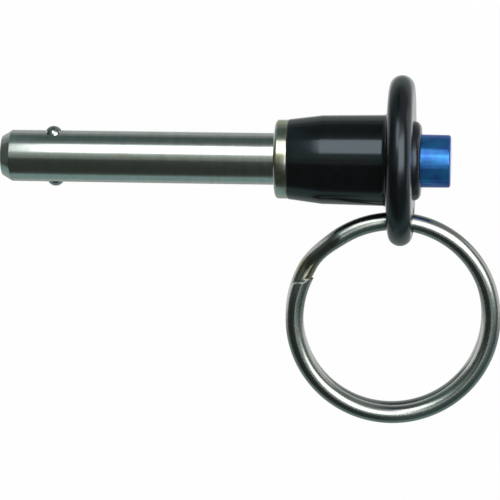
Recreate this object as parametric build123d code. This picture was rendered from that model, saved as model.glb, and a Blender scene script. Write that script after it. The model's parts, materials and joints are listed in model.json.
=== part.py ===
from build123d import *
import math
import os

# Ball lock pin with a push button and a split ring, in millimetres.
# The pin's axis is X: the tip is at -X, the button at +X, and the split ring hangs towards -Z.
# The origin lies on the axis, at the bearing face of the shoulder that stops against the clamped part.

# Shank: one turned steel piece, with nose, grip, shoulder and the hub that the handle is pressed on
shank_radius = 5.0
grip_length = 41.2
nose_length = 11.9
nose_relief = 0.02
nose_chamfer_length = 1.85
nose_chamfer_depth = 1.1
shoulder_radius = 7.6
shoulder_length = 2.5
shoulder_round = 0.7
shoulder_rear_break = 0.12
hub_radius = 5.5
hub_length = 7.0
hub_chamfer = 0.4

# Locking balls, in radial pockets whose mouths are narrower than the balls
ball_radius = 1.75
ball_projection = 1.05
ball_gap = 0.05
ball_retracted_depth = 0.1
pocket_land = 0.15
ball_clock_angle = 11.0

# Spindle: its taper holds the balls out, and its groove lets them in when the button is pressed
press_travel = 4.5
spindle_radius = 2.5
spindle_clearance = 0.05
spindle_recess = 0.3
spindle_tip_chamfer = 0.5
taper_start_depth = 0.1
groove_clearance = 0.06
land_length = 5.2
stem_radius = 2.1
tail_radius = 2.0
tail_depth = 8.0
rear_land_length = 5.0
rear_land_setback = 0.4
spindle_step_chamfer = 0.3
groove_shoulder_length = 0.5

# Handle: black barrel with a thin flange that has a full-round rim and a hole for the ring
barrel_front_radius = 7.7
barrel_cone_length = 6.4
barrel_cone_radius = 8.52
barrel_rear_radius = 8.75
barrel_length = 19.15
barrel_blend = 1.2
flange_radius = 16.35
flange_thickness = 4.8
flange_root_fillet = 1.2
chamber_radius = 6.5
ring_hole_radius = 2.3
ring_hole_offset = 11.75
ring_hole_break = 0.6

# Retaining collar: closes the handle behind the button's flange
collar_spigot_radius = 6.95
collar_spigot_length = 4.0
collar_head_radius = 7.6
collar_head_height = 1.45
collar_round = 1.4
collar_bore_clearance = 0.12
collar_seat_chamfer = 0.3

# Button: blue cap on a hollow flange that holds the spring
button_radius = 5.13
button_taper = 0.1
button_projection = 5.6
button_round = 0.45
button_flange_radius = 6.3
button_flange_thickness = 3.0
button_cup_radius = 5.6
button_edge_break = 0.2
button_stop_gap = 0.05

# Slotted spring pin that joins the button to the spindle
cross_pin_radius = 0.8
cross_pin_wall = 0.3
cross_pin_slot = 0.4
cross_pin_inset = 0.15

# Return spring
spring_wire = 0.9
spring_mean_radius = 4.6
spring_turns = 5.0

# Split ring: one wire wound a little over one and a half turns
wire_radius = 1.75
ring_mean_radius = 19.05
ring_yaw_angle = 5.0
ring_lean_angle = 3.8
coil_gap = 0.04
front_end_angle = 157.5
front_end_cut_angle = 106.0
front_end_overrun = 8.0
step_start_angle = 490.0
step_end_angle = 512.0
seam_angle = 330.0
back_end_angle = 739.8

# Places that follow from the sizes above
ball_seat = shank_radius + ball_projection - ball_radius
pocket_radius = ball_radius + ball_gap
pocket_mouth_radius = math.sqrt(pocket_radius**2 - (shank_radius - ball_seat) ** 2)
ball_x = -(grip_length + pocket_land + pocket_mouth_radius)
nose_x = -(grip_length + nose_length)
ball_travel = ball_projection + ball_retracted_depth
bore_radius = spindle_radius + spindle_clearance
hub_end_x = shoulder_length + hub_length
flange_front_x = shoulder_length + barrel_length
flange_x = flange_front_x + flange_thickness / 2
flange_rear_x = flange_front_x + flange_thickness
spigot_x = flange_rear_x - collar_spigot_length
collar_end_x = flange_rear_x + collar_head_height
collar_bore_radius = button_radius + collar_bore_clearance
button_end_x = collar_end_x + button_projection
button_web_x = spigot_x - button_flange_thickness
button_skirt_x = hub_end_x + press_travel + button_stop_gap
tail_end_x = button_web_x + tail_depth
cross_pin_x = button_web_x + button_flange_thickness / 2
spring_length = button_web_x - hub_end_x
coil_pitch = 2 * wire_radius + coil_gap


def revolved(points):
    """Solid of revolution about the X axis, from its half outline given as (x, radius) points."""
    outline = Polyline(*points, close=True)
    return revolve(make_face(outline), axis=Axis.X)


def circle_edges(body, x, radius):
    """The circular edges of a turned body that lie at x and have the given radius."""
    near = 0.001
    return [
        edge
        for edge in body.edges().filter_by(GeomType.CIRCLE)
        if abs(edge.arc_center.X - x) < near and abs(edge.radius - radius) < near
    ]


def rod(x_start, x_end, radius):
    """Cylinder along the X axis."""
    place = Location(((x_start + x_end) / 2, 0, 0), (0, 90, 0))
    return place * Cylinder(radius, x_end - x_start)


def around_axis(angle, x):
    """Place at x on the pin's axis, turned about that axis so that Z points to the given angle."""
    return Pos(x, 0, 0) * Rot(angle, 0, 0)


def ball_pocket(angle):
    """Radial hole for one ball, which closes in at the surface so that the ball can't fall out."""
    shaft = Pos(0, 0, ball_seat / 2) * Cylinder(pocket_radius, ball_seat)
    mouth = Pos(0, 0, ball_seat) * Sphere(pocket_radius)
    return around_axis(angle, ball_x) * (shaft + mouth)


def make_shank():
    """Nose, grip, shoulder and hub, bored for the spindle and cross-drilled for the balls."""
    body = revolved(
        [
            (nose_x, 0),
            (nose_x, shank_radius - nose_chamfer_depth),
            (nose_x + nose_chamfer_length, shank_radius - nose_relief),
            (-grip_length, shank_radius),
            (0, shank_radius),
            (0, shoulder_radius),
            (shoulder_length, shoulder_radius),
            (shoulder_length, hub_radius),
            (hub_end_x, hub_radius),
            (hub_end_x, 0),
        ]
    )
    body = fillet(circle_edges(body, 0, shoulder_radius), shoulder_round)
    body = chamfer(circle_edges(body, shoulder_length, shoulder_radius), shoulder_rear_break)
    body = chamfer(circle_edges(body, hub_end_x, hub_radius), hub_chamfer)
    body -= rod(nose_x, hub_end_x, bore_radius)
    body -= ball_pocket(ball_clock_angle)
    body -= ball_pocket(ball_clock_angle + 180)
    return body


def ring_hole():
    """Hole through the flange for the split ring, countersunk on both faces."""
    reach = flange_root_fillet
    drill = rod(flange_front_x - reach, flange_rear_x + reach, ring_hole_radius)
    mouth = revolved(
        [
            (-ring_hole_break, 0),
            (-ring_hole_break, ring_hole_radius),
            (reach, ring_hole_radius + ring_hole_break + reach),
            (reach, 0),
        ]
    )
    front_mouth = Pos(flange_front_x, 0, 0) * mouth.mirror(Plane.YZ)
    rear_mouth = Pos(flange_rear_x, 0, 0) * mouth
    return Pos(0, 0, -ring_hole_offset) * (drill + front_mouth + rear_mouth)


def make_handle():
    """Tapered barrel and round-rimmed flange, bored from behind for the button and its spring."""
    rim_radius = flange_thickness / 2
    rim_centre_radius = flange_radius - rim_radius
    cone_end_x = shoulder_length + barrel_cone_length
    barrel = revolved(
        [
            (shoulder_length, 0),
            (shoulder_length, barrel_front_radius),
            (cone_end_x, barrel_cone_radius),
            (flange_front_x, barrel_rear_radius),
            (flange_rear_x, barrel_rear_radius),
            (flange_rear_x, 0),
        ]
    )
    disc = rod(flange_front_x, flange_rear_x, rim_centre_radius)
    rim = Location((flange_x, 0, 0), (0, 90, 0)) * Torus(rim_centre_radius, rim_radius)
    body = barrel + disc + rim
    body = fillet(circle_edges(body, cone_end_x, barrel_cone_radius), barrel_blend)
    body = fillet(circle_edges(body, flange_front_x, barrel_rear_radius), flange_root_fillet)
    body -= rod(shoulder_length, hub_end_x, hub_radius)
    body -= rod(hub_end_x, spigot_x, chamber_radius)
    body -= rod(spigot_x, flange_rear_x, collar_spigot_radius)
    return body - ring_hole()


def make_retaining_collar():
    """Rounded collar around the button, with a spigot that is pressed into the handle."""
    body = revolved(
        [
            (spigot_x, collar_bore_radius),
            (spigot_x, collar_spigot_radius),
            (flange_rear_x, collar_spigot_radius),
            (flange_rear_x, collar_head_radius),
            (collar_end_x, collar_head_radius),
            (collar_end_x, collar_bore_radius),
        ]
    )
    body = fillet(circle_edges(body, collar_end_x, collar_head_radius), collar_round)
    return chamfer(circle_edges(body, spigot_x, collar_spigot_radius), collar_seat_chamfer)


def make_button():
    """Push button: the cap outside, a flange that the collar keeps in, and a cup for the spring."""
    end_radius = button_radius - button_taper
    body = revolved(
        [
            (button_skirt_x, button_cup_radius),
            (button_skirt_x, button_flange_radius),
            (spigot_x, button_flange_radius),
            (spigot_x, button_radius),
            (button_end_x, end_radius),
            (button_end_x, 0),
            (tail_end_x, 0),
            (tail_end_x, tail_radius),
            (button_web_x, tail_radius),
            (button_web_x, button_cup_radius),
        ]
    )
    body = fillet(circle_edges(body, button_end_x, end_radius), button_round)
    rims = circle_edges(body, button_skirt_x, button_flange_radius)
    rims += circle_edges(body, spigot_x, button_flange_radius)
    body = chamfer(rims, button_edge_break)
    pin_hole = Pos(cross_pin_x, 0, 0) * Cylinder(cross_pin_radius, 2 * button_flange_radius)
    return body - pin_hole


def make_spindle():
    """Spindle with its holding land, taper and release groove at the tip and guide lands behind."""
    slope = ball_travel / press_travel
    contact = ball_radius * slope / math.hypot(1, slope)
    holding_radius = spindle_radius - taper_start_depth
    released_radius = ball_seat - ball_travel - ball_radius - groove_clearance
    groove_start_x = ball_x + (holding_radius - released_radius) / slope
    groove_end_x = ball_x + press_travel + ball_radius / 2
    shoulder_x = ball_x + press_travel + ball_radius + groove_shoulder_length
    rear_land_end_x = hub_end_x - rear_land_setback
    rear_land_start_x = rear_land_end_x - rear_land_length
    body = revolved(
        [
            (nose_x + spindle_recess, 0),
            (nose_x + spindle_recess, spindle_radius),
            (ball_x - contact, spindle_radius),
            (ball_x, holding_radius),
            (groove_start_x, released_radius),
            (groove_end_x, released_radius),
            (shoulder_x, spindle_radius),
            (shoulder_x + land_length, spindle_radius),
            (shoulder_x + land_length, stem_radius),
            (rear_land_start_x, stem_radius),
            (rear_land_start_x, spindle_radius),
            (rear_land_end_x, spindle_radius),
            (rear_land_end_x, tail_radius),
            (tail_end_x, tail_radius),
            (tail_end_x, 0),
        ]
    )
    tip_edge = circle_edges(body, nose_x + spindle_recess, spindle_radius)
    body = chamfer(tip_edge, spindle_tip_chamfer)
    land_edges = circle_edges(body, shoulder_x + land_length, spindle_radius)
    land_edges += circle_edges(body, rear_land_start_x, spindle_radius)
    body = chamfer(land_edges, spindle_step_chamfer)
    pin_hole = Pos(cross_pin_x, 0, 0) * Cylinder(cross_pin_radius, 2 * spindle_radius)
    return body - pin_hole


def make_cross_pin():
    """Slotted tubular pin through the button's flange and the spindle's tail."""
    length = 2 * (button_flange_radius - cross_pin_inset)
    body = Cylinder(cross_pin_radius, length) - Cylinder(cross_pin_radius - cross_pin_wall, length)
    body -= Pos(cross_pin_radius, 0, 0) * Box(cross_pin_radius, cross_pin_slot, length)
    return Pos(cross_pin_x, 0, 0) * body


def make_spring():
    """Compression spring between the hub and the button's web, touching both with its outer turns."""
    centre_length = spring_length - spring_wire
    coil = Helix(centre_length / spring_turns, centre_length, spring_mean_radius)
    section = Plane(coil @ 0, z_dir=coil % 0) * Circle(spring_wire / 2)
    wound = sweep(section, coil, is_frenet=True)
    return Location((hub_end_x + spring_wire / 2, 0, 0), (0, 90, 0)) * wound


def make_ball(angle):
    """One locking ball, held out by the spindle."""
    return around_axis(angle, ball_x) * Pos(0, 0, ball_seat) * Sphere(ball_radius)


def swept_wire(path):
    """Round wire along one edge of the ring's centre line."""
    return sweep(Plane(path @ 0, z_dir=path % 0) * Circle(wire_radius), path)


def ring_point(angle, depth):
    """Point of the ring's centre line, in its own plane, at an angle and a depth behind the front."""
    turn = math.radians(angle)
    return Vector(ring_mean_radius * math.cos(turn), ring_mean_radius * math.sin(turn), -depth)


def ring_tangent(angle):
    """Direction in which the wire runs at an angle of the ring."""
    turn = math.radians(angle)
    return Vector(-math.sin(turn), math.cos(turn), 0)


def make_split_ring():
    """Front coil, the step where the wire passes behind its own end, and the back coil."""
    start = front_end_angle - front_end_overrun
    lead = CenterArc((0, 0, 0), ring_mean_radius, start, seam_angle - start)
    front = CenterArc((0, 0, 0), ring_mean_radius, seam_angle, step_start_angle - seam_angle)
    middle_angle = (step_start_angle + step_end_angle) / 2
    step = Spline(
        ring_point(step_start_angle, 0),
        ring_point(middle_angle, coil_pitch / 2),
        ring_point(step_end_angle, coil_pitch),
        tangents=[ring_tangent(step_start_angle), ring_tangent(step_end_angle)],
    )
    back_turn = back_end_angle - step_end_angle
    back = Pos(0, 0, -coil_pitch) * CenterArc(
        (0, 0, 0), ring_mean_radius, step_end_angle, back_turn
    )
    cut_side = 6 * wire_radius
    cutter = Pos(*ring_point(front_end_angle, 0)) * Rot(0, 0, front_end_cut_angle)
    cutter = cutter * Pos(cut_side / 2, 0, 0) * Box(cut_side, cut_side, cut_side)
    coil = swept_wire(lead) - cutter
    coil = coil + swept_wire(front) + swept_wire(step) + swept_wire(back)
    yaw = math.radians(ring_yaw_angle)
    lean = math.radians(ring_lean_angle)
    across = Vector(math.cos(yaw), math.sin(yaw), 0)
    hole = Vector(flange_x, 0, -ring_hole_offset)
    centre = hole - across * (ring_mean_radius * math.sin(lean))
    centre = centre - Vector(0, 0, ring_mean_radius * math.cos(lean))
    ring_plane = Plane(centre, x_dir=across, z_dir=Vector(math.sin(yaw), -math.cos(yaw), 0))
    return ring_plane.location * coil


pieces = {
    "shank": make_shank(),
    "handle": make_handle(),
    "retaining_collar": make_retaining_collar(),
    "button": make_button(),
    "spindle": make_spindle(),
    "button_pin": make_cross_pin(),
    "return_spring": make_spring(),
    "ball_upper": make_ball(ball_clock_angle),
    "ball_lower": make_ball(ball_clock_angle + 180),
    "split_ring": make_split_ring(),
}

os.makedirs("parts", exist_ok=True)
for name, piece in pieces.items():
    export_step(piece, f"parts/{name}.step")
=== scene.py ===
"""Looks of a ball lock pin: its finely turned pieces, their finishes, a studio and a camera.

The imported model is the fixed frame. Lengths are in metres; the pin's axis is X, with the button at +X,
and the split ring hangs towards -Z.
"""

import json
import logging
import math
from dataclasses import dataclass, field
from enum import Enum
from itertools import pairwise
from typing import Iterable, Sequence

import bpy
from mathutils import Matrix, Vector


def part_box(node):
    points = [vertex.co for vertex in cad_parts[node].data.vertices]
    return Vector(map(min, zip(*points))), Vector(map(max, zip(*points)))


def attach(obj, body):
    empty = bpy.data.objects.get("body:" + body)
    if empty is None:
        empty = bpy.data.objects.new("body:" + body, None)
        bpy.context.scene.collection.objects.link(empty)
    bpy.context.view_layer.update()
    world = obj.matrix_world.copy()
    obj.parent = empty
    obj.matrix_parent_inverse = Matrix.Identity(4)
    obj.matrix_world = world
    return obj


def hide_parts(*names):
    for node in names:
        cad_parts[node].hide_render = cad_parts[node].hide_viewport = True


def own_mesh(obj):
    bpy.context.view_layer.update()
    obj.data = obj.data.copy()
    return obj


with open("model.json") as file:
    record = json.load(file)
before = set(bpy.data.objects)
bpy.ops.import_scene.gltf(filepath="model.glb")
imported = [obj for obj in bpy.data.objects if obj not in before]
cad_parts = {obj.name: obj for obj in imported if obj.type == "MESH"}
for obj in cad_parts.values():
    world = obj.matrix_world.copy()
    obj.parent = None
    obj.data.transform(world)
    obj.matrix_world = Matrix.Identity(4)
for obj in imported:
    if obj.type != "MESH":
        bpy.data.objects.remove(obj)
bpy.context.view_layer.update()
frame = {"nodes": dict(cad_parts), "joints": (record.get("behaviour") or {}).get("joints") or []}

Material = bpy.types.Material
Node = bpy.types.Node
Piece = bpy.types.Object
Socket = bpy.types.NodeSocket
Colour = tuple[float, float, float, float]
Span = tuple[float, float]

LOG = logging.getLogger("ball_lock_pin")
MM = 0.001
WELD = 0.0005 * MM


class Body(Enum):
    """Bodies of the frame that a piece can ride on."""

    PIN = "pin_body"
    PLUNGER = "plunger"
    UPPER_BALL = "upper_ball"
    LOWER_BALL = "lower_ball"
    RING = "ring"


class Slot(Enum):
    """Material slots of the record."""

    SHANK = "shank_steel"
    BALL = "ball_steel"
    SPINDLE = "spindle_steel"
    SPRING = "spring_steel"
    HANDLE = "black_anodised"
    COLLAR = "black_collar"
    BUTTON = "blue_anodised"
    RING = "ring_steel"


# ---- Modelling ----


@dataclass(frozen=True)
class Corner:
    """One corner of a turned outline.

    Args:
        x: place along the axis.
        radius: distance from the axis.
        rounding: radius of the arc that rounds the corner, or 0 for a sharp one.
        steps: number of straight pieces in that arc.
    """

    x: float
    radius: float
    rounding: float = 0.0
    steps: int = 5

    @property
    def place(self) -> Vector:
        """The corner as a point of the outline's plane."""
        return Vector((self.x, self.radius))


def rounded_outline(corners: Sequence[Corner]) -> list[Vector]:
    """Replaces each corner that has a rounding by the points of its arc.

    Args:
        corners: the outline's corners in order; a rounded one needs a neighbour on each side.

    Returns:
        The outline's points, as (x, radius).
    """
    points = []
    for index, corner in enumerate(corners):
        if not corner.rounding:
            points.append(corner.place)
            continue
        before = (corners[index - 1].place - corner.place).normalized()
        after = (corners[(index + 1) % len(corners)].place - corner.place).normalized()
        half = before.angle(after) / 2
        centre = corner.place + (before + after).normalized() * (corner.rounding / math.sin(half))
        start = corner.place + before * (corner.rounding / math.tan(half)) - centre
        turn = math.copysign(math.pi - 2 * half, before.x * after.y - before.y * after.x)
        for step in range(corner.steps + 1):
            arm = Matrix.Rotation(-turn * step / corner.steps, 2) @ start
            points.append(centre + arm)
    return points


def deselect_all() -> None:
    """Leaves no object selected, so that an operator acts on the new piece alone."""
    bpy.ops.object.select_all(action="DESELECT")


def activate(piece: Piece) -> None:
    """Makes the piece the only selected object, and the active one."""
    deselect_all()
    piece.select_set(True)
    bpy.context.view_layer.objects.active = piece


def edit(select_by: str = "VERT") -> None:
    """Enters edit mode on the active piece, with everything selected, by vertices, edges or faces."""
    bpy.ops.object.mode_set(mode="EDIT")
    bpy.ops.mesh.select_mode(type=select_by)
    bpy.ops.mesh.select_all(action="SELECT")


def close_shell() -> None:
    """Welds seams and poles, turns all faces outwards, and leaves edit mode."""
    bpy.ops.mesh.select_all(action="SELECT")
    bpy.ops.mesh.remove_doubles(threshold=WELD)
    bpy.ops.mesh.normals_make_consistent(inside=False)
    bpy.ops.object.mode_set(mode="OBJECT")


def smooth(piece: Piece, degrees: float = 25.0) -> None:
    """Shades the piece smooth, but for its edges sharper than the angle."""
    activate(piece)
    bpy.ops.object.shade_smooth_by_angle(angle=math.radians(degrees))


def line_through(name: str, points: Sequence[Vector]) -> Piece:
    """Draws straight lines from point to point, and stays in edit mode with all of them selected."""
    deselect_all()
    bpy.ops.mesh.primitive_plane_add(size=MM)
    piece = bpy.context.object
    piece.name = name
    edit()
    bpy.ops.mesh.merge(type="CENTER")
    bpy.ops.transform.translate(value=points[0])
    for here, there in pairwise(points):
        bpy.ops.mesh.extrude_vertices_move(TRANSFORM_OT_translate={"value": there - here})
    bpy.ops.mesh.select_all(action="SELECT")
    return piece


def turned(name: str, corners: Sequence[Corner], segments: int = 224) -> Piece:
    """Turns an outline round the X axis into a closed piece.

    Args:
        name: the piece's name.
        corners: the closed outline, given once round; a solid piece has two corners on the axis.
        segments: number of faces round the piece.

    Returns:
        The finished mesh object, in place.
    """
    points = [Vector((point.x, 0.0, point.y)) for point in rounded_outline(corners)]
    piece = line_through(name, points + points[:1])
    bpy.ops.mesh.remove_doubles(threshold=WELD)
    bpy.ops.mesh.spin(steps=segments, angle=math.tau, center=(0, 0, 0), axis=(1, 0, 0))
    close_shell()
    return piece


def wire_section(name: str, radius: float, reach: float, sides: int, fill: str = "NOTHING") -> Piece:
    """Starts a piece that is wound round the Z axis, as the section of its wire on the X axis.

    Args:
        name: the piece's name.
        radius: the wire's radius.
        reach: distance of the wire's middle from the Z axis.
        sides: number of corners of the section.
        fill: the kind of face that closes the section.

    Returns:
        The mesh object.
    """
    deselect_all()
    bpy.ops.mesh.primitive_circle_add(vertices=sides, radius=radius, fill_type=fill)
    section = bpy.context.object
    section.name = name
    section.data.transform(Matrix.Translation((reach, 0, 0)) @ quarter_turn("X"))
    return section


def quarter_turn(axis: str) -> Matrix:
    """Turn of 90 degrees about one of the main axes, right-handed."""
    return Matrix.Rotation(math.pi / 2, 4, axis)


def heading(degrees: float) -> Vector:
    """Unit vector in the XY plane, at an angle from +X towards +Y."""
    angle = math.radians(degrees)
    return Vector((math.cos(angle), math.sin(angle), 0.0))


def modify(piece: Piece, kind: str, **settings: object) -> None:
    """Adds one modifier with its settings, and applies it."""
    modifier = piece.modifiers.new(kind.lower(), kind)
    for setting, value in settings.items():
        setattr(modifier, setting, value)
    activate(piece)
    bpy.ops.object.modifier_apply(modifier=modifier.name)


def cut(piece: Piece, tool: Piece) -> None:
    """Takes the tool's shape out of the piece, and removes the tool."""
    modify(piece, "BOOLEAN", operation="DIFFERENCE", solver="EXACT", object=tool)
    bpy.data.objects.remove(tool)


def seat(
    piece: Piece,
    body: Body,
    material: Material,
    nodes: Iterable[str],
) -> Piece:
    """Dresses a finished piece, fixes it to its body and lets it stand for its CAD nodes.

    Args:
        piece: the finished mesh object, in place.
        body: the body that carries it.
        material: the finish.
        nodes: the CAD nodes that it stands for.

    Returns:
        The piece.
    """
    piece.data.materials.clear()
    piece.data.materials.append(material)
    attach(piece, body.value)
    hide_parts(*nodes)
    LOG.info("%s: %d faces, rides on %s", piece.name, len(piece.data.polygons), body.value)
    return piece


# ---- Shader effects that several finishes share ----


class Graph:
    """Places and joins the nodes of one material or node group."""

    def __init__(self, tree: bpy.types.NodeTree) -> None:
        """Takes the node tree to work on."""
        self.tree = tree

    def node(self, kind: str, values: dict | None = None, **settings: object) -> Node:
        """Adds a node.

        Args:
            kind: the node's type, such as ShaderNodeMath.
            values: what goes into its inputs by name or number: a socket to join, or a value.
            settings: the node's own settings.

        Returns:
            The node.
        """
        node = self.tree.nodes.new(kind)
        for setting, value in settings.items():
            setattr(node, setting, value)
        for name, value in (values or {}).items():
            if isinstance(value, Socket):
                self.tree.links.new(value, node.inputs[name])
            else:
                node.inputs[name].default_value = value
        return node

    def math(self, operation: str, *values: object) -> Socket:
        """Adds a Math node and returns its result."""
        return self.node("ShaderNodeMath", dict(enumerate(values)), operation=operation).outputs[0]

    def vector(self, operation: str, *values: object, output: str = "Vector") -> Socket:
        """Adds a Vector Math node and returns one of its outputs."""
        node = self.node("ShaderNodeVectorMath", dict(enumerate(values)), operation=operation)
        return node.outputs[output]

    def spread(
        self, value: object, low: float, high: float, start: float, end: float
    ) -> Socket:
        """Maps low..high smoothly on to start..end, and holds the ends beyond it."""
        values = {"Value": value, "From Min": low, "From Max": high, "To Min": start, "To Max": end}
        node = self.node("ShaderNodeMapRange", values, interpolation_type="SMOOTHSTEP")
        return node.outputs["Result"]

    def noise(
        self, place: object, scale: object, detail: float = 3.0, rough: float = 0.5
    ) -> Socket:
        """Adds a noise texture and returns its value, about 0.5 in the middle."""
        values = {"Vector": place, "Scale": scale, "Detail": detail, "Roughness": rough}
        return self.node("ShaderNodeTexNoise", values).outputs["Fac"]

    def mix(self, share: object, first: object, second: object) -> Socket:
        """Mixes two colours, through the sockets that a Mix node has for colours."""
        values = {0: share, 6: first, 7: second}
        return self.node("ShaderNodeMix", values, data_type="RGBA").outputs[2]

    def show(self, surface: Socket) -> None:
        """Joins a shader to the surface of the material."""
        self.tree.links.new(surface, self.tree.nodes["Material Output"].inputs["Surface"])

    def place(self) -> Socket:
        """The point of the surface, in the part's own frame."""
        return self.node("ShaderNodeTexCoord").outputs["Object"]

    def along(self) -> Socket:
        """How far along the pin's axis the point of the surface lies."""
        return self.node("ShaderNodeSeparateXYZ", {0: self.place()}).outputs["X"]

    def round_axis(self) -> tuple[Socket, Socket]:
        """Place of the surface as seen by a lathe.

        Returns:
            The place square to the axis, and the place as (x, distance from the axis).
        """
        parts = self.node("ShaderNodeSeparateXYZ", {0: self.place()}).outputs
        flat = self.joined(Y=parts["Y"], Z=parts["Z"])
        return flat, self.joined(X=parts["X"], Y=self.vector("LENGTH", flat, output="Value"))

    def joined(self, **parts: object) -> Socket:
        """A place, put together from its X, Y and Z."""
        return self.node("ShaderNodeCombineXYZ", parts).outputs[0]

    def scaled(self, place: object, scale: object) -> Socket:
        """Multiplies a place by a number."""
        values = {0: place, "Scale": scale}
        return self.node("ShaderNodeVectorMath", values, operation="SCALE").outputs[0]


class Effect:
    """A shader node group with named inputs and outputs, built once and placed in each material."""

    def __init__(self, name: str, inputs: dict[str, float], outputs: Sequence[str]) -> None:
        """Makes the group.

        Args:
            name: the group's name.
            inputs: its inputs and their usual values.
            outputs: its outputs, all plain numbers.
        """
        self.tree = bpy.data.node_groups.new(name, "ShaderNodeTree")
        for title, value in inputs.items():
            self.add_socket(title, "INPUT").default_value = value
        for title in outputs:
            self.add_socket(title, "OUTPUT")
        self.graph = Graph(self.tree)
        self.inputs = self.tree.nodes.new("NodeGroupInput").outputs
        self.outputs = self.tree.nodes.new("NodeGroupOutput").inputs

    def add_socket(self, title: str, side: str) -> bpy.types.NodeTreeInterfaceSocket:
        """Adds a number to the group's inputs or outputs."""
        return self.tree.interface.new_socket(title, in_out=side, socket_type="NodeSocketFloat")

    def put_out(self, title: str, socket: Socket) -> None:
        """Joins a result to one of the group's outputs."""
        self.tree.links.new(socket, self.outputs[title])

    def used_in(self, graph: Graph, **values: object) -> Node:
        """Places the group in a material.

        Args:
            graph: the material's graph.
            values: the group's inputs, with underscores for spaces.

        Returns:
            The group node.
        """
        named = {title.replace("_", " "): value for title, value in values.items()}
        return graph.node("ShaderNodeGroup", named, node_tree=self.tree)


def turning_marks() -> Effect:
    """Fine grooves round the X axis, as a lathe or a grinding wheel leaves them.

    Grooves counts waves in a metre along the axis, and Drift the slower ones across it.

    Returns:
        The effect, with its height and its tone, each about 0.5 in the middle.
    """
    effect = Effect("turning marks", {"Grooves": 9000.0, "Drift": 120.0}, ["Height", "Tone"])
    graph, inputs = effect.graph, effect.inputs
    flat, lathe_place = graph.round_axis()
    grooves = graph.scaled(lathe_place, inputs["Grooves"])
    drift = graph.scaled(flat, inputs["Drift"])
    place = graph.vector("ADD", grooves, drift)
    effect.put_out("Height", graph.noise(place, scale=1.0, detail=4.0, rough=0.65))
    effect.put_out("Tone", graph.noise(place, scale=0.18, detail=2.0))
    return effect


def blotches() -> Effect:
    """Slow change of tone over a surface, with a finer speckle."""
    effect = Effect("blotches", {"Size": 4 * MM, "Speckle": 0.3 * MM}, ["Cloud", "Speckle"])
    graph, inputs = effect.graph, effect.inputs
    place = graph.place()
    for title, size in (("Cloud", "Size"), ("Speckle", "Speckle")):
        scale = graph.math("DIVIDE", 1.0, inputs[size])
        effect.put_out(title, graph.noise(place, scale, rough=0.55))
    return effect


def scratches() -> Effect:
    """Sparse short hairlines in two directions, from handling."""
    effect = Effect("scratches", {"Width": 0.1 * MM, "Amount": 0.5}, ["Mask"])
    graph, inputs = effect.graph, effect.inputs
    scale = graph.math("DIVIDE", 1.0, inputs["Width"])
    masks = []
    for turn, tip, stretch in ((0.5, 0.2, 0.035), (-0.9, -0.36, 0.05)):
        values = {"Vector": graph.place(), "Rotation": (turn, tip, turn), "Scale": (stretch, 1.0, 1.0)}
        along = graph.node("ShaderNodeMapping", values).outputs[0]
        crests = graph.noise(along, scale, detail=0.0)
        masks.append(graph.spread(crests, low=0.76, high=0.84, start=0.0, end=1.0))
    joined = graph.math("MAXIMUM", *masks)
    effect.put_out("Mask", graph.math("MULTIPLY", joined, inputs["Amount"]))
    return effect


def edge_rub_and_highlight() -> Effect:
    """Mask along one turned edge, broken up as rubbing leaves it; the lighter colour that it brings is
    partly real wear and partly a painted edge highlight.
    """
    inputs = {"Edge X": 0.0, "Edge Radius": 7.6 * MM, "Width": 0.3 * MM, "Breakup": 0.8 * MM}
    effect = Effect("edge rub", inputs, ["Mask"])
    graph, sockets = effect.graph, effect.inputs
    lathe_place = graph.round_axis()[1]
    edge = graph.joined(X=sockets["Edge X"], Y=sockets["Edge Radius"])
    distance = graph.vector("DISTANCE", lathe_place, edge, output="Value")
    away = graph.math("DIVIDE", distance, sockets["Width"])
    scale = graph.math("DIVIDE", 1.0, sockets["Breakup"])
    ragged = graph.math("ADD", away, graph.noise(graph.place(), scale, rough=0.6))
    effect.put_out("Mask", graph.spread(ragged, low=0.7, high=1.3, start=1.0, end=0.0))
    return effect


@dataclass
class Effects:
    """The shared shader effects, made once."""

    turning: Effect = field(default_factory=turning_marks)
    blotches: Effect = field(default_factory=blotches)
    scratches: Effect = field(default_factory=scratches)
    rub_and_highlight: Effect = field(default_factory=edge_rub_and_highlight)


# ---- Finishes ----


def new_material(name: str, **constants: object) -> tuple[Material, Graph, Node]:
    """Starts a material.

    Args:
        name: the material's name.
        constants: values of the shader that are the same all over, with underscores for spaces.

    Returns:
        The material, its graph and its Principled shader.
    """
    material = bpy.data.materials.new(name)
    material.use_nodes = True
    shader = material.node_tree.nodes["Principled BSDF"]
    for title, value in constants.items():
        shader.inputs[title.replace("_", " ")].default_value = value
    return material, Graph(material.node_tree), shader


@dataclass(frozen=True)
class Grain:
    """Irregularities that every finish has.

    Args:
        patch_size: size of the slow patches of tone.
        speckle_size: size of the fine speckle.
        hair_width: width of the hairlines.
        hair_amount: how strongly the hairlines show, from 0 to 1.
    """

    patch_size: float
    speckle_size: float
    hair_width: float
    hair_amount: float


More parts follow.
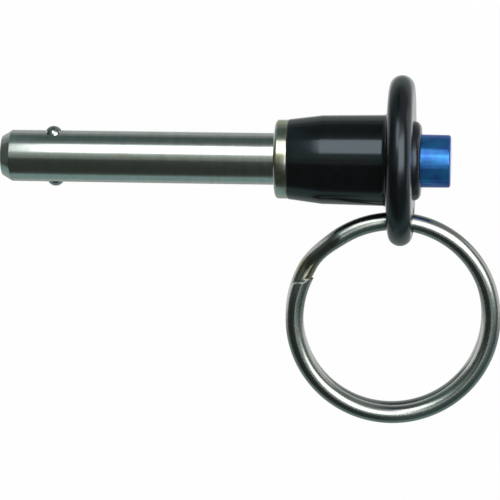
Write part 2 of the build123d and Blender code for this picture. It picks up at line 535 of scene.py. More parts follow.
class Coat:
    """A material in the making, with the noise that its grain gives."""

    def __init__(self, name: str, grain: Grain, effects: Effects, **constants: object) -> None:
        """Starts the material.

        Args:
            name: the material's name.
            grain: sizes of its irregularities.
            effects: the shared shader effects.
            constants: values of the Principled shader that are the same all over.
        """
        self.material, self.graph, self.shader = new_material(name, **constants)
        sizes = {"Size": grain.patch_size, "Speckle": grain.speckle_size}
        noise = effects.blotches.used_in(self.graph, **sizes).outputs
        self.cloud = noise["Cloud"]
        self.speckle = noise["Speckle"]
        hairlines = {"Width": grain.hair_width, "Amount": grain.hair_amount}
        self.hair = effects.scratches.used_in(self.graph, **hairlines).outputs["Mask"]

    def blend(self, noise: object, span: Span, first: object, second: object) -> Socket:
        """Goes from one colour to another as the noise crosses the span."""
        return self.graph.mix(self.graph.spread(noise, *span, 0.0, 1.0), first, second)

    def finished(self, colour: object, rough: object, *heights: tuple[object, float]) -> Material:
        """Joins the results to the shader.

        Args:
            colour: the base colour.
            rough: the roughness.
            heights: each height, with how far it stands up in metres; they act one on the other.

        Returns:
            The finished material.
        """
        results = {"Base Color": colour, "Roughness": rough}
        for height, rise in heights:
            bump = {"Height": height, "Distance": rise, "Strength": 1.0}
            if "Normal" in results:
                bump["Normal"] = results["Normal"]
            results["Normal"] = self.graph.node("ShaderNodeBump", bump).outputs["Normal"]
        for title, result in results.items():
            self.graph.tree.links.new(result, self.shader.inputs[title])
        return self.material


@dataclass(frozen=True)
class GroundSteel:
    """Turned and ground stainless steel, bright, with faint grooves round the axis.

    From dry_from onwards the bar was turned dry and not ground: it is rougher and has a heat tint.
    """

    name: str = "ground_steel"
    light: Colour = (0.66, 0.67, 0.64, 1.0)
    dark: Colour = (0.61, 0.63, 0.61, 1.0)
    tone_span: Span = (0.35, 0.65)
    grain: Grain = Grain(2.2 * MM, 0.25 * MM, hair_width=0.07 * MM, hair_amount=0.6)
    stain_and_shade: Colour = (0.50, 0.50, 0.38, 1.0)
    stain_span: Span = (0.45, 0.7)
    stain_and_shade_share: float = 0.0
    tint: Colour = (0.50, 0.48, 0.30, 1.0)
    tint_span: Span = (0.4, 0.62)
    tint_least: float = 0.05
    tint_most: float = 0.75
    dry_from: float | None = None
    dry_fade: float = 0.2 * MM
    dry_rough: float = 0.20
    wear_span: Span = (0.4, 0.8)
    smoothest: float = 0.18
    roughest: float = 0.25
    grooves: float = 9000.0
    groove_rise: float = 0.0000008
    hair_depth: float = 0.00000032

    def made(self, effects: Effects) -> Material:
        """Builds the material."""
        coat = Coat(self.name, self.grain, effects, Metallic=1.0)
        graph = coat.graph
        marks = effects.turning.used_in(graph, Grooves=self.grooves).outputs
        colour = coat.blend(marks["Tone"], self.tone_span, self.light, self.dark)
        stained_and_shaded = graph.spread(coat.cloud, *self.stain_span, 0.0, self.stain_and_shade_share)
        colour = graph.mix(stained_and_shaded, colour, self.stain_and_shade)
        wear = graph.math("MAXIMUM", coat.hair, coat.speckle)
        rough = graph.spread(wear, *self.wear_span, self.smoothest, self.roughest)
        if self.dry_from is not None:
            dry = graph.spread(graph.along(), self.dry_from, self.dry_from + self.dry_fade, 0.0, 1.0)
            broken = graph.spread(coat.cloud, *self.tint_span, self.tint_least, self.tint_most)
            colour = graph.mix(graph.math("MULTIPLY", dry, broken), colour, self.tint)
            rough = graph.math("MAXIMUM", rough, graph.math("MULTIPLY", dry, self.dry_rough))
        return coat.finished(
            colour, rough, (marks["Height"], self.groove_rise), (coat.hair, -self.hair_depth)
        )


@dataclass(frozen=True)
class PolishedSteel:
    """Hard polished ball steel, with faint rolling marks."""

    name: str = "polished_ball_steel"
    light: Colour = (0.46, 0.48, 0.48, 1.0)
    dark: Colour = (0.34, 0.36, 0.36, 1.0)
    tone_span: Span = (0.35, 0.7)
    grain: Grain = Grain(0.9 * MM, 0.12 * MM, hair_width=0.03 * MM, hair_amount=0.8)
    smoothest: float = 0.06
    hair_rough: float = 0.18
    speckle_rise: float = 0.0000004

    def made(self, effects: Effects) -> Material:
        """Builds the material."""
        coat = Coat(self.name, self.grain, effects, Metallic=1.0)
        colour = coat.blend(coat.cloud, self.tone_span, self.light, self.dark)
        rough = coat.graph.math("MULTIPLY_ADD", coat.hair, self.hair_rough, self.smoothest)
        return coat.finished(colour, rough, (coat.speckle, self.speckle_rise))


@dataclass(frozen=True)
class Anodised:
    """Turned aluminium with a dyed anodic layer: glossy, with fine pits and faint turning marks.

    From satin_from onwards it is satin. The edges painted lighter, partly as wear and partly as a
    painted highlight, are turned ones, each given by x and radius.
    """

    name: str
    dye: Colour
    deep_dye: Colour
    rubbed_and_lit: Colour
    gloss_tint: Colour
    metallic: float
    smoothest: float
    roughest: float
    layer_ior: float = 1.62
    dye_span: Span = (0.35, 0.7)
    grain_span: Span = (0.4, 0.75)
    grain: Grain = Grain(2.5 * MM, 0.25 * MM, hair_width=0.06 * MM, hair_amount=0.15)
    grooves: float = 7000.0
    groove_rise: float = 0.0000004
    pit_depth: float = 0.0000012
    satin_from: float | None = None
    satin_fade: float = 0.5 * MM
    satin_rough: float = 0.24
    rubbed_and_lit_edges: tuple[tuple[float, float], ...] = ()
    rub_and_highlight_width: float = 0.25 * MM
    rub_and_highlight_share: float = 0.5

    def wear_and_highlight(self, effects: Effects, coat: Coat) -> Socket:
        """Mask of the hairlines, and of the edges painted lighter as wear and as a painted highlight."""
        wear_and_highlight = coat.hair
        for x, radius in self.rubbed_and_lit_edges:
            edge = {"Edge_X": x, "Edge_Radius": radius, "Width": self.rub_and_highlight_width}
            rub_and_highlight = effects.rub_and_highlight.used_in(coat.graph, **edge).outputs["Mask"]
            wear_and_highlight = coat.graph.math("MAXIMUM", wear_and_highlight, coat.graph.math("MULTIPLY", rub_and_highlight, self.rub_and_highlight_share))
        return wear_and_highlight

    def made(self, effects: Effects) -> Material:
        """Builds the material."""
        layer = {"Metallic": self.metallic, "IOR": self.layer_ior, "Specular_Tint": self.gloss_tint}
        coat = Coat(self.name, self.grain, effects, **layer)
        graph = coat.graph
        marks = effects.turning.used_in(graph, Grooves=self.grooves).outputs
        colour = coat.blend(coat.cloud, self.dye_span, self.dye, self.deep_dye)
        # Lighter colour on hairlines and edges: wear, and at the edges also a painted highlight.
        colour = graph.mix(self.wear_and_highlight(effects, coat), colour, self.rubbed_and_lit)
        grain = graph.math("MAXIMUM", marks["Tone"], coat.speckle)
        rough = graph.spread(grain, *self.grain_span, self.smoothest, self.roughest)
        if self.satin_from is not None:
            end = self.satin_from + self.satin_fade
            satin = graph.spread(graph.along(), self.satin_from, end, 0.0, self.satin_rough)
            rough = graph.math("MAXIMUM", rough, satin)
        return coat.finished(
            colour, rough, (marks["Height"], self.groove_rise), (coat.speckle, self.pit_depth)
        )


@dataclass(frozen=True)
class WireSteel:
    """Drawn stainless wire: smooth, with faint lines along it and a darker, brownish painted shade
    beside its cut end, where the back coil runs behind the front coil's end.

    The turn's columns are the ring's own directions: across it, up it and out of it. The painted shade
    is full within its core distance of its place, and gone at its reach. The drawn lines count waves in
    a metre, and line_drift those along the wire.
    """

    centre: Vector
    turn: Matrix
    shaded_place: Vector
    name: str = "drawn_wire_steel"
    light: Colour = (0.44, 0.45, 0.43, 1.0)
    dark: Colour = (0.36, 0.38, 0.355, 1.0)
    tone_span: Span = (0.8, 1.2)
    grain: Grain = Grain(6 * MM, 0.3 * MM, hair_width=0.06 * MM, hair_amount=0.6)
    stain_and_shade: Colour = (0.30, 0.25, 0.13, 1.0)
    shade_core: float = 1.2 * MM
    shade_reach: float = 4.0 * MM
    stain_and_shade_share: float = 0.7
    wear_span: Span = (0.4, 0.8)
    smoothest: float = 0.21
    roughest: float = 0.28
    lines: float = 6000.0
    line_drift: float = 250.0
    line_rise: float = 0.0000006

    def along_wire(self, graph: Graph) -> Socket:
        """Place across the wire's section, stretched out along the wire, for its drawn lines."""
        away = graph.vector("SUBTRACT", graph.place(), tuple(self.centre))
        across, up, outward = (
            graph.vector("DOT_PRODUCT", away, tuple(direction), output="Value")
            for direction in self.turn.transposed()
        )
        flat = graph.joined(X=across, Y=up)
        section = graph.joined(X=graph.vector("LENGTH", flat, output="Value"), Z=outward)
        fine = graph.vector("MULTIPLY", section, (self.lines, 0.0, self.lines))
        slow = graph.vector("MULTIPLY", flat, (self.line_drift, self.line_drift, 0.0))
        return graph.vector("ADD", fine, slow)

    def made(self, effects: Effects) -> Material:
        """Builds the material."""
        coat = Coat(self.name, self.grain, effects, Metallic=1.0)
        graph = coat.graph
        drawn = graph.noise(self.along_wire(graph), scale=1.0, rough=0.55)
        mottle = graph.math("ADD", drawn, coat.cloud)
        colour = coat.blend(mottle, self.tone_span, self.light, self.dark)
        # Painted shade: darker and brownish beside the cut end, where the back coil runs behind the
        # front coil's end.
        near = graph.vector("DISTANCE", graph.place(), tuple(self.shaded_place), output="Value")
        painted_shade = graph.spread(near, self.shade_core, self.shade_reach, self.stain_and_shade_share, 0.0)
        colour = graph.mix(painted_shade, colour, self.stain_and_shade)
        wear = graph.math("MAXIMUM", coat.hair, coat.speckle)
        rough = graph.spread(wear, *self.wear_span, self.smoothest, self.roughest)
        return coat.finished(colour, rough, (drawn, self.line_rise))


# ---- Sub-assemblies ----


@dataclass(frozen=True)
class CrossPin:
    """Place and size of the pin that joins the button and the spindle."""

    x: float
    radius: float = 0.8 * MM
    reach: float = 12.0 * MM

    def hole(self) -> Piece:
        """Cutting tool of the pin's hole, which goes straight up through its piece."""
        start, end = -self.reach, self.reach
        corners = [
            Corner(start, 0.0),
            Corner(start, self.radius),
            Corner(end, self.radius),
            Corner(end, 0.0),
        ]
        tool = turned("tool", corners, segments=96)
        tool.data.transform(Matrix.Translation((self.x, 0, 0)) @ quarter_turn("Y"))
        return tool

    def dress(self, effects: Effects) -> None:
        """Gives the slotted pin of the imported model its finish."""
        pin = frame["nodes"]["button_pin"]
        pin.data.materials.clear()
        pin.data.materials.append(GroundSteel(name="cross_pin_steel", roughest=0.35).made(effects))


@dataclass
class LockingBalls:
    """The two balls near the tip, and the pockets that they sit in."""

    x: float
    seat_radius: float = 4.3 * MM
    radius: float = 1.75 * MM
    gap: float = 0.05 * MM
    clock_degrees: float = 11.0
    dome_slices: int = 12
    subdivisions: int = 5

    def direction(self, side: int) -> Vector:
        """Outward direction of the upper ball (side 1) or the lower one (side -1)."""
        angle = math.radians(self.clock_degrees)
        return Vector((0.0, -math.sin(angle), math.cos(angle))) * side

    def pocket_tool(self, side: int) -> Piece:
        """Cutting tool of one pocket, whose mouth closes in over the ball.

        Args:
            side: 1 for the upper ball, -1 for the lower one.

        Returns:
            A closed mesh in place.
        """
        radius = self.radius + self.gap
        middle = Vector((self.seat_radius, 0.0, 0.0))
        arms = (heading(90 - 90 * step / self.dome_slices) for step in range(self.dome_slices))
        dome = [Corner(*(middle + arm * radius).xy) for arm in arms]
        tip = Corner(self.seat_radius + radius, 0.0)
        tool = turned("tool", [Corner(0.0, 0.0), Corner(0.0, radius), *dome, tip], segments=96)
        outward = self.direction(side)
        turn = Vector((1, 0, 0)).rotation_difference(outward).to_matrix().to_4x4()
        tool.data.transform(Matrix.Translation((self.x, 0, 0)) @ turn)
        return tool

    def ball(self, name: str, side: int) -> Piece:
        """Models one ball from a cube, rounded off.

        Args:
            name: the piece's name.
            side: 1 for the upper ball, -1 for the lower one.

        Returns:
            The finished mesh object.
        """
        deselect_all()
        bpy.ops.mesh.primitive_cube_add(size=2 * self.radius)
        ball = bpy.context.object
        ball.name = name
        modify(ball, "SUBSURF", levels=self.subdivisions, render_levels=self.subdivisions)
        modify(ball, "CAST", cast_type="SPHERE", factor=1.0, use_radius_as_size=False, size=self.radius)
        middle = self.direction(side) * self.seat_radius + Vector((self.x, 0, 0))
        ball.data.transform(Matrix.Translation(middle))
        smooth(ball, degrees=180.0)
        return ball

    def build(self, effects: Effects) -> None:
        """Models and dresses both balls."""
        finish = PolishedSteel().made(effects)
        seat(self.ball("upper_locking_ball", 1), Body.UPPER_BALL, finish, ["ball_upper"])
        seat(self.ball("lower_locking_ball", -1), Body.LOWER_BALL, finish, ["ball_lower"])


@dataclass
class Shank:
    """Nose, grip, shoulder and hub, turned from one bar."""

    nose_x: float
    hub_end_x: float
    radius: float = 5.0 * MM
    grip_length: float = 41.2 * MM
    nose_relief: float = 0.02 * MM
    nose_chamfer: float = 1.85 * MM
    nose_face_radius: float = 3.9 * MM
    bore_radius: float = 2.55 * MM
    shoulder_radius: float = 7.6 * MM
    shoulder_length: float = 2.5 * MM
    shoulder_round: float = 0.7 * MM
    hub_radius: float = 5.5 * MM
    edge_break: float = 0.12 * MM
    bore_break: float = 0.06 * MM
    nose_blend: float = 0.24 * MM

    def corners(self) -> list[Corner]:
        """The outline of the turned bar, once round."""
        return [
            Corner(self.nose_x, self.bore_radius, self.bore_break, steps=3),
            Corner(self.nose_x, self.nose_face_radius, self.edge_break),
            Corner(self.nose_x + self.nose_chamfer, self.radius - self.nose_relief, self.nose_blend),
            Corner(-self.grip_length, self.radius),
            Corner(0.0, self.radius),
            Corner(0.0, self.shoulder_radius, self.shoulder_round, steps=10),
            Corner(self.shoulder_length, self.shoulder_radius, self.edge_break),
            Corner(self.shoulder_length, self.hub_radius),
            Corner(self.hub_end_x, self.hub_radius, self.edge_break),
            Corner(self.hub_end_x, self.bore_radius),
        ]

    def build(self, effects: Effects, balls: LockingBalls) -> None:
        """Models the shank with its two ball pockets, and dresses it."""
        shank = turned("turned_shank", self.corners())
        for side in (1, -1):
            cut(shank, balls.pocket_tool(side))
        smooth(shank)
        finish = GroundSteel(stain_and_shade_share=0.35, dry_from=-0.2 * MM).made(effects)
        seat(shank, Body.PIN, finish, ["shank"])


@dataclass
class Spindle:
    """The rod inside the shank, seen at the tip and through the ball pockets."""

    tip_x: float
    tail_x: float
    ball_x: float
    radius: float = 2.5 * MM
    taper_start: float = 0.44 * MM
    holding_radius: float = 2.4 * MM
    groove_radius: float = 1.34 * MM
    groove_start: float = 4.15 * MM
    groove_end: float = 5.38 * MM
    groove_shoulder: float = 6.75 * MM
    tail_radius: float = 2.0 * MM
    tail_length: float = 18.35 * MM
    edge_break: float = 0.3 * MM

    def build(self, effects: Effects, cross_pin: CrossPin) -> None:
        """Models the spindle with the hole for its cross pin, and dresses it."""
        tail_start = self.tail_x - self.tail_length
        corners = [
            Corner(self.tip_x, 0.0),
            Corner(self.tip_x, self.radius, self.edge_break),
            Corner(self.ball_x - self.taper_start, self.radius),
            Corner(self.ball_x, self.holding_radius),
            Corner(self.ball_x + self.groove_start, self.groove_radius),
            Corner(self.ball_x + self.groove_end, self.groove_radius),
            Corner(self.ball_x + self.groove_shoulder, self.radius),
            Corner(tail_start, self.radius, self.edge_break),
            Corner(tail_start, self.tail_radius),
            Corner(self.tail_x, self.tail_radius),
            Corner(self.tail_x, 0.0),
        ]
        spindle = turned("turned_spindle", corners, segments=96)
        cut(spindle, cross_pin.hole())
        smooth(spindle)
        finish = GroundSteel(name="spindle_steel", dark=(0.4, 0.41, 0.4, 1.0), roughest=0.3)
        seat(spindle, Body.PLUNGER, finish.made(effects), ["spindle"])


@dataclass
class Handle:
    """Tapered barrel and thin flange with a full-round rim, in one turned piece."""

    front_x: float
    rear_x: float
    flange_radius: float
    front_radius: float = 7.7 * MM
    cone_length: float = 6.4 * MM
    cone_radius: float = 8.52 * MM
    barrel_radius: float = 8.75 * MM
    barrel_blend: float = 1.2 * MM
    flange_thickness: float = 4.8 * MM
    root_fillet: float = 1.2 * MM
    hub_radius: float = 5.5 * MM
    hub_depth: float = 7.0 * MM
    chamber_radius: float = 6.5 * MM
    spigot_radius: float = 6.95 * MM
    spigot_depth: float = 4.0 * MM
    ring_hole_radius: float = 2.3 * MM
    ring_hole_offset: float = 11.75 * MM
    ring_hole_break: float = 0.6 * MM
    ring_hole_soft: float = 0.15 * MM
    edge_break: float = 0.08 * MM

    @property
    def flange_x(self) -> float:
        """Front face of the flange."""
        return self.rear_x - self.flange_thickness

    def corners(self) -> list[Corner]:
        """The outline of the turned piece, once round."""
        rim = self.flange_thickness / 2
        hub_end = self.front_x + self.hub_depth
        spigot_x = self.rear_x - self.spigot_depth
        return [
            Corner(self.front_x, self.hub_radius),
            Corner(self.front_x, self.front_radius, self.edge_break),
            Corner(self.front_x + self.cone_length, self.cone_radius, self.barrel_blend, steps=8),
            Corner(self.flange_x, self.barrel_radius, self.root_fillet, steps=10),
            Corner(self.flange_x, self.flange_radius, rim, steps=16),
            Corner(self.rear_x, self.flange_radius, rim, steps=16),
            Corner(self.rear_x, self.spigot_radius),
            Corner(spigot_x, self.spigot_radius),
            Corner(spigot_x, self.chamber_radius),
            Corner(hub_end, self.chamber_radius),
            Corner(hub_end, self.hub_radius),
        ]

    def ring_hole_tool(self) -> Piece:
        """Cutting tool of the ring's hole, countersunk on both faces of the flange."""
        reach = self.root_fillet
        wide = self.ring_hole_radius + self.ring_hole_break + reach
        front_x = self.flange_x + self.ring_hole_break
        back_x = self.rear_x - self.ring_hole_break
        corners = [
            Corner(self.flange_x - reach, 0.0),
            Corner(self.flange_x - reach, wide),
            Corner(front_x, self.ring_hole_radius, self.ring_hole_soft, steps=4),
            Corner(back_x, self.ring_hole_radius, self.ring_hole_soft, steps=4),
            Corner(self.rear_x + reach, wide),
            Corner(self.rear_x + reach, 0.0),
        ]
        tool = turned("tool", corners, segments=96)
        tool.data.transform(Matrix.Translation((0, 0, -self.ring_hole_offset)))
        return tool

    def build(self, effects: Effects) -> None:
        """Models the handle with the hole for the ring, and dresses it."""
        handle = turned("turned_handle", self.corners(), segments=288)
        cut(handle, self.ring_hole_tool())
        smooth(handle)
        finish = Anodised(
            name="satin_black_anodise",
            dye=(0.0045, 0.004, 0.0045, 1.0),
            deep_dye=(0.003, 0.0025, 0.003, 1.0),
            # Lighter edge colour: partly wear, partly a painted edge highlight.
            rubbed_and_lit=(0.06, 0.06, 0.06, 1.0),
            gloss_tint=(0.74, 0.88, 0.98, 1.0),
            metallic=0.0,
            smoothest=0.12,
            roughest=0.17,
            satin_from=self.flange_x,
            rubbed_and_lit_edges=((self.front_x, self.front_radius),),
        )
        seat(handle, Body.PIN, finish.made(effects), ["handle"])


@dataclass
class RetainingCollar:
    """Rounded collar round the button, with the spigot that holds it in the handle."""

    rear_x: float
    end_x: float
    spigot_depth: float = 4.0 * MM
    spigot_radius: float = 6.95 * MM
    head_radius: float = 7.6 * MM
    bore_radius: float = 5.25 * MM
    rounding: float = 1.4 * MM
    edge_break: float = 0.1 * MM
    seat_chamfer: float = 0.3 * MM

    def build(self, effects: Effects) -> None:
        """Models and dresses the collar."""
        spigot_x = self.rear_x - self.spigot_depth
        corners = [
            Corner(spigot_x, self.bore_radius),
            Corner(spigot_x, self.spigot_radius - self.seat_chamfer),
            Corner(spigot_x + self.seat_chamfer, self.spigot_radius),
            Corner(self.rear_x, self.spigot_radius),
            Corner(self.rear_x, self.head_radius),
            Corner(self.end_x, self.head_radius, self.rounding, steps=12),
            Corner(self.end_x, self.bore_radius, self.edge_break, steps=4),
        ]
        collar = turned("retaining_ring_collar", corners)
        smooth(collar)
        finish = Anodised(
            name="mottled_black_anodise",
            dye=(0.010, 0.010, 0.010, 1.0),
            deep_dye=(0.004, 0.004, 0.004, 1.0),
            # Lighter edge colour: partly wear, partly a painted edge highlight.
            rubbed_and_lit=(0.16, 0.16, 0.15, 1.0),
            gloss_tint=(0.70, 0.82, 1.0, 1.0),
            metallic=0.0,
            smoothest=0.16,
            roughest=0.34,
            grain=Grain(2.5 * MM, 0.35 * MM, hair_width=0.06 * MM, hair_amount=0.15),
            grooves=5000.0,
            groove_rise=0.0000015,
            pit_depth=0.000006,
            rubbed_and_lit_edges=((self.end_x, self.bore_radius),),
            rub_and_highlight_width=0.5 * MM,
        )
        seat(collar, Body.PIN, finish.made(effects), ["retaining_collar"])


@dataclass
class PushButton:
    """Blue cap with the hollow flange that holds the spring, and the place of its cross pin."""

    end_x: float
    skirt_x: float
    collar_x: float
    radius: float = 5.13 * MM
    end_radius: float = 5.03 * MM
    end_round: float = 0.45 * MM
    flange_radius: float = 6.3 * MM
    web_thickness: float = 3.0 * MM
    cup_radius: float = 5.6 * MM
    tail_radius: float = 2.0 * MM
    tail_depth: float = 8.0 * MM
    edge_break: float = 0.2 * MM

    @property
    def web_x(self) -> float:
        """Front face of the web, where the spring bears."""
        return self.collar_x - self.web_thickness

    @property
    def cross_pin(self) -> CrossPin:
        """The pin through the middle of the web."""
        return CrossPin(x=self.web_x + self.web_thickness / 2)

    @property
    def tail_end_x(self) -> float:
        """Bottom of the hole that takes the spindle's tail."""
        return self.web_x + self.tail_depth

    def build(self, effects: Effects) -> None:
        """Models and dresses the button."""
        corners = [
            Corner(self.skirt_x, self.cup_radius),
            Corner(self.skirt_x, self.flange_radius, self.edge_break),
            Corner(self.collar_x, self.flange_radius, self.edge_break),
            Corner(self.collar_x, self.radius),
            Corner(self.end_x, self.end_radius, self.end_round, steps=10),
            Corner(self.end_x, 0.0),
            Corner(self.tail_end_x, 0.0),
            Corner(self.tail_end_x, self.tail_radius),
            Corner(self.web_x, self.tail_radius),
            Corner(self.web_x, self.cup_radius),
        ]
        button = turned("push_button_cap", corners)
        cut(button, self.cross_pin.hole())
        smooth(button)
        finish = Anodised(
            name="blue_anodise",
            dye=(0.024, 0.195, 0.470, 1.0),
            deep_dye=(0.024, 0.110, 0.400, 1.0),
            # Lighter edge colour: partly wear, partly a painted edge highlight.
            rubbed_and_lit=(0.16, 0.40, 0.66, 1.0),
            gloss_tint=(0.85, 0.65, 1.0, 1.0),
            metallic=0.7,
            smoothest=0.16,
            roughest=0.24,
            rubbed_and_lit_edges=((self.end_x, self.end_radius),),
            rub_and_highlight_share=0.25,
        )
        seat(button, Body.PLUNGER, finish.made(effects), ["button"])


@dataclass
class ReturnSpring:
    """Coil spring between the hub and the button; the real spring shortens as the button goes in."""

    start_x: float
    end_x: float
    travel: float
    wire_radius: float = 0.45 * MM
    mean_radius: float = 4.6 * MM
    turns: int = 5
    steps_per_turn: int = 48

    def build(self, effects: Effects) -> None:
        """Winds the spring and dresses it."""
        spring = wire_section(
            "coiled_return_spring", self.wire_radius, self.mean_radius, sides=16, fill="NGON"
        )
        steps = self.steps_per_turn * self.turns
        modify(
            spring,
            "SCREW",
            axis="Z",
            angle=math.tau * self.turns,
            screw_offset=self.end_x - self.start_x - 2 * self.wire_radius,
            steps=steps,
            render_steps=steps,
            use_merge_vertices=False,
        )
        foot = Matrix.Translation((self.start_x + self.wire_radius, 0, 0))
        spring.data.transform(foot @ quarter_turn("Y"))
        activate(spring)
        edit()
        bpy.ops.mesh.fill_holes(sides=0)
        close_shell()
        smooth(spring, degrees=60.0)
        finish = GroundSteel(name="spring_wire_steel", roughest=0.32).made(effects)
        seat(spring, Body.PIN, finish, ["return_spring"])
        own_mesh(spring)


@dataclass
class SplitRing:
    """One round wire wound a little over one and a half turns, with its step and its two cut ends.

    Angles are in degrees in the ring's own plane, from +X towards +Z; the front coil lies at depth 0,
    and the back coil behind it.
    """

    hole_x: float
    hole_drop: float = 11.75 * MM
    wire_radius: float = 1.75 * MM
    mean_radius: float = 19.05 * MM
    coil_gap: float = 0.04 * MM
    yaw: float = 5.0
    lean: float = 3.8
    front_end: float = 157.5
    front_overrun: float = 8.0
    cut_direction: float = 106.0
    trim_at: float = 190.0
    step_start: float = 482.0
    step_end: float = 512.0
    back_end: float = 739.8
    degrees_per_slice: float = 1.5
    degrees_per_step_slice: float = 0.75
    end_break: float = 0.09 * MM
    section_reach: float = 0.01 * MM

    @property
    def coil_pitch(self) -> float:
        """Depth from the front coil to the back one."""
        return 2 * self.wire_radius + self.coil_gap

    @property
    def turn(self) -> Matrix:
        """Turn from the ring's own frame, whose Z looks out of the ring, to the part's frame."""
        across = heading(self.yaw)
        outward = heading(self.yaw - 90)
        return Matrix((across, outward.cross(across), outward)).transposed()

    @property
    def centre(self) -> Vector:
        """Middle of the front coil."""
        hang = self.turn @ heading(90 - self.lean)
        return Vector((self.hole_x, 0.0, -self.hole_drop)) - hang * self.mean_radius

    def at(self, degrees: float) -> Vector:
        """Point of the front coil's centre line, in the ring's own frame."""
        return heading(degrees) * self.mean_radius

    def wind(self, start: float, end: float) -> None:
        """In edit mode: sweeps the selected loop round the ring, from one angle to another."""
        steps = max(1, round((end - start) / self.degrees_per_slice))
        bpy.ops.mesh.spin(
            steps=steps,
            angle=math.radians(end - start),
            center=(0, 0, 0),
            axis=(0, 0, -1),
            use_auto_merge=False,
        )

    def step_back(self) -> None:
        """In edit mode: sweeps the selected loop along an S curve, from depth 0 to the back coil's."""
        sweep = self.step_end - self.step_start
        slices = round(sweep / self.degrees_per_step_slice)
        arc = math.radians(sweep)
        slope = 0.0
        depth = 0.0
        for index in range(1, slices + 1):
            share = index / slices
            next_depth = -self.coil_pitch * share * share * (3 - 2 * share)
            climb = -self.coil_pitch * 6 * share * (1 - share)
            next_slope = math.atan2(climb, self.mean_radius * arc)
            radial = heading(self.step_start + share * sweep)
            section = radial * self.mean_radius + Vector((0.0, 0.0, next_depth))
            bpy.ops.mesh.extrude_region_move(
                TRANSFORM_OT_translate={"value": (0.0, 0.0, next_depth - depth)}
            )
            turn_selected(arc / slices, Vector((0, 0, 1)), Vector((0, 0, 0)))
            turn_selected(next_slope - slope, radial, section)
            slope, depth = next_slope, next_depth

    def model(self) -> Piece:
        """Winds the wire.

        Returns:
            The finished mesh object, in place.
        """
        start = self.front_end - self.front_overrun
        ring = wire_section("split_ring_wire", self.wire_radius, self.mean_radius, sides=56)
        ring.data.transform(Matrix.Rotation(math.radians(start), 4, "Z"))
        edit("EDGE")
        self.wind(start, self.trim_at)
        bpy.ops.mesh.select_all(action="SELECT")
        bpy.ops.mesh.bisect(
            plane_co=self.at(self.front_end),
            plane_no=heading(self.cut_direction),
            clear_outer=True,
            use_fill=True,
        )
        bpy.ops.mesh.bevel(offset=self.end_break, segments=3, affect="EDGES")
        self.select_section(ring, self.trim_at)
        self.wind(self.trim_at, self.step_start)
        self.step_back()
        self.wind(self.step_end, self.back_end)
        bpy.ops.mesh.edge_face_add()
        bpy.ops.mesh.bevel(offset=self.end_break, segments=3, affect="EDGES")
        close_shell()
        ring.data.transform(Matrix.Translation(self.centre) @ self.turn.to_4x4())
        smooth(ring, degrees=40.0)
        return ring

    def select_section(self, ring: Piece, degrees: float) -> None:
        """In edit mode: selects the loop of the wire's section at an angle, and nothing else."""
        bpy.ops.mesh.select_mode(type="VERT")
        bpy.ops.mesh.select_all(action="DESELECT")
        bpy.ops.object.mode_set(mode="OBJECT")
        radial = heading(degrees)
        along = heading(degrees + 90)
        for vertex in ring.data.vertices:
            in_plane = abs(vertex.co.dot(along)) < self.section_reach
            vertex.select = in_plane and vertex.co.dot(radial) > 0
        bpy.ops.object.mode_set(mode="EDIT")

    def build(self, effects: Effects) -> None:
        """Models and dresses the ring."""
        behind = Vector((0.0, 0.0, -self.coil_pitch))
        # Place of the painted shade: on the back coil, just behind the front coil's cut end.
        stained_and_shaded = self.centre + self.turn @ (self.at(self.front_end - self.front_overrun) + behind)
        finish = WireSteel(centre=self.centre, turn=self.turn, shaded_place=stained_and_shaded)
        seat(self.model(), Body.RING, finish.made(effects), ["split_ring"])


def turn_selected(angle: float, axis: Vector, pivot: Vector) -> None:
    """In edit mode: turns the selection about an axis through a pivot, right-handed."""
    to_axis = axis.normalized().to_track_quat("Z", "Y").to_matrix()
    bpy.ops.transform.rotate(
        value=-angle,
        orient_axis="Z",
        orient_type="GLOBAL",
        orient_matrix=to_axis.transposed(),
        orient_matrix_type="GLOBAL",
        center_override=pivot,
    )


# ---- Studio and camera ----


DIM_GREEN = (0.84, 1.0, 0.88)
DIM_CYAN = (0.66, 1.0, 0.97)
COOL = (0.90, 1.0, 0.98)
WHITE = (1.0, 1.0, 1.0)
CARD_RADIUS = 0.62
LOW_RADIUS = 0.28
LEFT_END = -0.62
RIGHT_END = 0.75


def toward(azimuth: float, elevation: float) -> Vector:
    """Unit vector from the object outwards; azimuth 0 is the front, and 90 the button's side."""
    turn, rise = math.radians(azimuth), math.radians(elevation)
    return Vector((math.cos(rise) * math.sin(turn), -math.cos(rise) * math.cos(turn), math.sin(rise)))


def stand(
    name: str, data: bpy.types.ID, aim: Vector, outward: Vector, distance: float
) -> bpy.types.Object:
    """Adds a lamp or a camera that looks at a point, from a distance outwards of it."""
    thing = bpy.data.objects.new(name, data)
    bpy.context.collection.objects.link(thing)
    thing.location = aim + outward * distance
    thing.rotation_euler = outward.to_track_quat("Z", "Y").to_euler()
    return thing


@dataclass(frozen=True)
class Card:
    """A curved card round the X axis, seen only in reflections.

    Angles are in degrees from the horizon on the camera's side, upwards, over the top and on.
    """

    name: str
    start: float
    end: float
    level: float
    tint: tuple[float, float, float] = WHITE
    radius: float = CARD_RADIUS
    left: float = LEFT_END
    right: float = RIGHT_END


@dataclass(frozen=True)
class EndCard:
    """A flat card square to the X axis, seen only in reflections; the curved cards run up to it."""

    name: str
    x: float
    back: float
    level: float
    tint: tuple[float, float, float] = WHITE
    front: float = -CARD_RADIUS
    low: float = -LOW_RADIUS
    high: float = CARD_RADIUS


